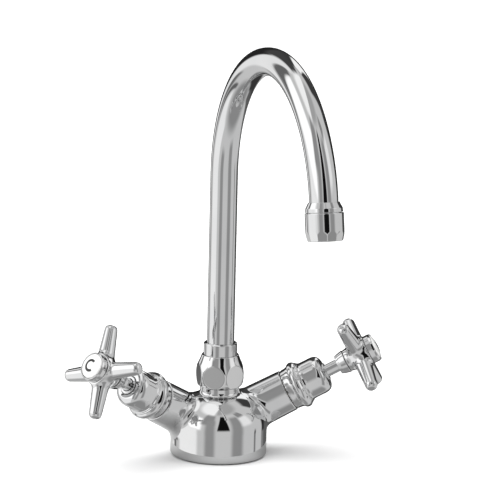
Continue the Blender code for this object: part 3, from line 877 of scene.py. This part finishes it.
def make_floor():
    """A wide pale floor, and a patch of it near the foot whose darker colour is painted shade of the object, shown
    only in the chrome.
    """
    wide = Recipe("pale_floor", (0.9, 0.9, 0.9), 0.9, 0.0)
    # Painted shade: the near patch is darker grey to stand in for the shade that the object casts on the floor
    # round its foot
    near = Recipe("painted_shade_floor", (0.45, 0.45, 0.45), 0.9, 0.0)
    for recipe, reach, corners, depth in ((wide, WIDE_FLOOR, 4, 0.2), (near, NEAR_FLOOR, 96, 0.1)):
        turns = [(k + 0.5) * 2 * math.pi / corners for k in range(corners)]
        mesh = bpy.data.meshes.new(recipe.material.name)
        ring = [(reach * math.cos(a) * MM, reach * math.sin(a) * MM, -depth * MM) for a in turns]
        mesh.from_pydata(ring, [], [tuple(range(corners))])
        mesh.materials.append(recipe.material)
        piece = bpy.data.objects.new(recipe.material.name, mesh)
        bpy.context.scene.collection.objects.link(piece)
        piece.visible_glossy = recipe is near
        if recipe is near:
            piece.visible_camera = piece.visible_diffuse = piece.visible_shadow = False
        piece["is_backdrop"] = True


# Cards round the object: azimuth from the camera, half width, lowest and highest elevation, softness and
# brightness. Angles are in degrees, and a later card lies over the ones before it.
CARDS = (
    (0, 181, -91, -55, 20, 0.30),  # near floor, shaded by the object
    (-105, 85, 62, 91, 12, 1.08),  # overhead softbox
    (75, 85, 66, 91, 12, 0.42),  # overhead diffuser, turned down
    (-80, 36, 2, 44, 10, 1.30),  # key softbox
    (-80, 27, -45, 3, 10, 1.00),  # key softbox on the floor
    (-30, 18, 22, 62, 12, 0.30),  # gap beside the key softbox
    (-21, 12, -32, 42, 12, 0.32),  # seam of the tent, left of the camera
    (47, 14, -42, 52, 13, 0.31),  # seam of the tent, right of the camera
    (76, 14, 12, 44, 12, 0.95),  # fill softbox
    (76, 12, 46, 62, 6, 0.28),  # flag over the fill softbox
    (170, 45, -16, 26, 8, 0.02),  # dark backdrop
    (-166, 17, 20, 62, 8, 0.06),  # dark wall behind, left
    (-137, 8, -18, 58, 5, 0.92),  # light wall behind, left
    (157, 25, 10, 50, 8, 0.05),  # dark wall behind, right
    (164, 7, 14, 48, 3, 1.10),  # rim light behind
    (-123, 6, 0, 48, 4, 0.15),  # post of the key softbox
    (12, 16, 3, 60, 3, 0.006),  # opening for the camera
    (98, 3, -17, -7, 2, 0.14),  # stand
    (152, 15, -50, -6, 8, 0.12),  # end of the table
    (172, 16, -54, -22, 8, 0.04),  # dark floor behind
    (-126, 5, -26, 0, 4, 0.17),  # foot of the post
    (-115, 4, -47, -18, 4, 0.14),  # shadow of the post
)
HORIZON_BRIGHTNESS = 0.64
OPENING_BRIGHTNESS = 0.01  # only the opening is darker than this
OPENING_TAPER = 0.15  # how fast its half width shrinks with elevation
EDGE_OF_CARD = math.radians(9)  # least softness of the upper and lower edges


def maths(tree, operation, first, second=0.0, third=0.0):
    node = tree.nodes.new("ShaderNodeMath")
    node.operation = operation
    for socket, value in zip(node.inputs, (first, second, third)):
        if isinstance(value, (int, float)):
            socket.default_value = value
        else:
            tree.links.new(value, socket)
    return node.outputs["Value"]


def stepped(tree, value, low, high):
    """0 at low and 1 at high, with a smooth change between."""
    node = tree.nodes.new("ShaderNodeMapRange")
    node.interpolation_type = "SMOOTHSTEP"
    node.inputs["From Min"].default_value = low
    node.inputs["From Max"].default_value = high
    tree.links.new(value, node.inputs["Value"])
    return node.outputs["Result"]


def make_world():
    """A white tent with softboxes, flags and an opening for the camera, as brightness by direction."""
    world = bpy.data.worlds.new("studio")
    bpy.context.scene.world = world
    world.use_nodes = True
    tree = world.node_tree
    direction = tree.nodes.new("ShaderNodeTexCoord").outputs["Generated"]
    split = tree.nodes.new("ShaderNodeSeparateXYZ")
    tree.links.new(direction, split.inputs["Vector"])
    x, y, z = (split.outputs[name] for name in "XYZ")
    azimuth = maths(tree, "ARCTAN2", x, maths(tree, "MULTIPLY", y, -1.0))
    elevation = maths(tree, "ARCSINE", z)
    level = HORIZON_BRIGHTNESS
    for middle, half, low, high, soft, brightness in CARDS:
        middle, half, low, high, soft = (math.radians(a) for a in (middle, half, low, high, soft))
        offset = maths(tree, "SUBTRACT", azimuth, CAMERA_AZIMUTH + middle)
        wrapped = maths(tree, "ABSOLUTE", maths(tree, "WRAP", offset, math.pi, -math.pi))
        if brightness < OPENING_BRIGHTNESS:
            wrapped = maths(tree, "MULTIPLY_ADD", elevation, OPENING_TAPER, wrapped)
        beside = stepped(tree, wrapped, half + soft / 2, half - soft / 2)
        soft = max(soft, EDGE_OF_CARD)
        above = stepped(tree, elevation, low - soft / 2, low + soft / 2)
        below = stepped(tree, elevation, high + soft / 2, high - soft / 2)
        mask = maths(tree, "MULTIPLY", maths(tree, "MULTIPLY", above, below), beside)
        keep = maths(tree, "SUBTRACT", 1.0, mask)
        level = maths(tree, "MULTIPLY_ADD", level, keep, maths(tree, "MULTIPLY", mask, brightness))
    tree.links.new(level, tree.nodes["Background"].inputs["Strength"])
    tree.nodes["Background"].inputs["Color"].default_value = (1, 1, 1, 1)
    bpy.context.scene.view_settings.view_transform = "Standard"


def make_softbox():
    """Lights the floor and the enamel from above. It doesn't show in the chrome, which reflects the cards."""
    data = bpy.data.lights.new("softbox", "AREA")
    data.shape = "SQUARE"
    data.size = SOFTBOX_SIDE
    data.energy = SOFTBOX_POWER
    softbox = bpy.data.objects.new("softbox", data)
    bpy.context.scene.collection.objects.link(softbox)
    softbox.location = SOFTBOX_PLACE
    softbox.visible_glossy = False


# ---------------------------------------------------------------- pieces

def make_pieces(finish):
    make_body(finish["casting"])
    gasket = lathe(gasket_corners())
    add_piece("foot_gasket", gasket, WORLD_FRAME, "root", finish["rubber"], ["base_gasket"], "rubber")
    nut = surface_of(nut_field(), (-17, -17, 46), (17, 17, 68), NUT_STEP)
    add_piece("bulb_nut", nut, WORLD_FRAME, "root", finish["chrome"], ["spout_nut"], "chrome")
    collar = lathe(collar_corners())
    add_piece("swivel_collar", collar, WORLD_FRAME, "spout", finish["chrome"], ["spout_collar"], "chrome")
    tube = tube_shape()
    add_piece("gooseneck_tube", tube, WORLD_FRAME, "spout", finish["chrome"], ["spout_tube"], "chrome")
    ferrule = lathe(ferrule_corners())
    add_piece("tube_ferrule", ferrule, OUTLET_FRAME, "spout", finish["chrome"], ["outlet_ferrule"], "chrome")
    housing = surface_of(housing_field(), (-12, -12, 6), (12, 12, 24), HOUSING_STEP)
    node = ["aerator_housing"]
    add_piece("aerator_barrel", housing, OUTLET_FRAME, "spout", finish["chrome"], node, "chrome")
    node = ["aerator_screen_lower"]
    add_piece("aerator_mesh", screen_shape(), OUTLET_FRAME, "spout", finish["steel"], node, "steel")
    turned_on_arm = (
        ("domed_bonnet", bonnet_corners(), "root", "chrome", "bonnet"),
        ("gland_collar", gland_corners(), "root", "chrome", "gland_ring"),
        ("rising_spindle", spindle_corners(), "valve", "chrome", "spindle"),
        ("flared_collar", handle_collar_corners(), "valve", "chrome", "handle_collar"),
        ("button_bezel", bezel_corners(), "valve", "chrome", "index_bezel"),
        ("button_disc", disc_corners(), "valve", "enamel", "index_disc"),
    )
    for side in SIDES_OF_TAP:
        place, valve = ARM_FRAMES[side], f"valve_{side}"
        for name, corners, body, slot, node in turned_on_arm:
            rides_on = valve if body == "valve" else body
            shape, replaced = lathe(corners), [f"{node}_{side}"]
            add_piece(f"{name}_{side}", shape, place, rides_on, finish[slot], replaced, slot)
        make_handle(side, finish["chrome"])
        add_piece(f"index_mark_{side}", mark_shape(side), place, valve, finish["ink"], [], "enamel")


def finish_hidden_nodes(finish):
    """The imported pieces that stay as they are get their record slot's material."""
    slots = {part["node"]: part["material_slot"] for part in frame["record"]["subparts"]}
    for name, node in frame["nodes"].items():
        if node.hide_render:
            continue
        if not node.material_slots:
            node.data.materials.append(None)
        for material_slot in node.material_slots:
            material_slot.material = finish[slots[name]]


make_camera()
make_floor()
make_world()
make_softbox()
finishes = make_materials()
make_pieces(finishes)
finish_hidden_nodes(finishes)

boxes = {"cad": cad_box, "visual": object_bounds()}
{name: [list(corner) for corner in box] for name, box in boxes.items()}
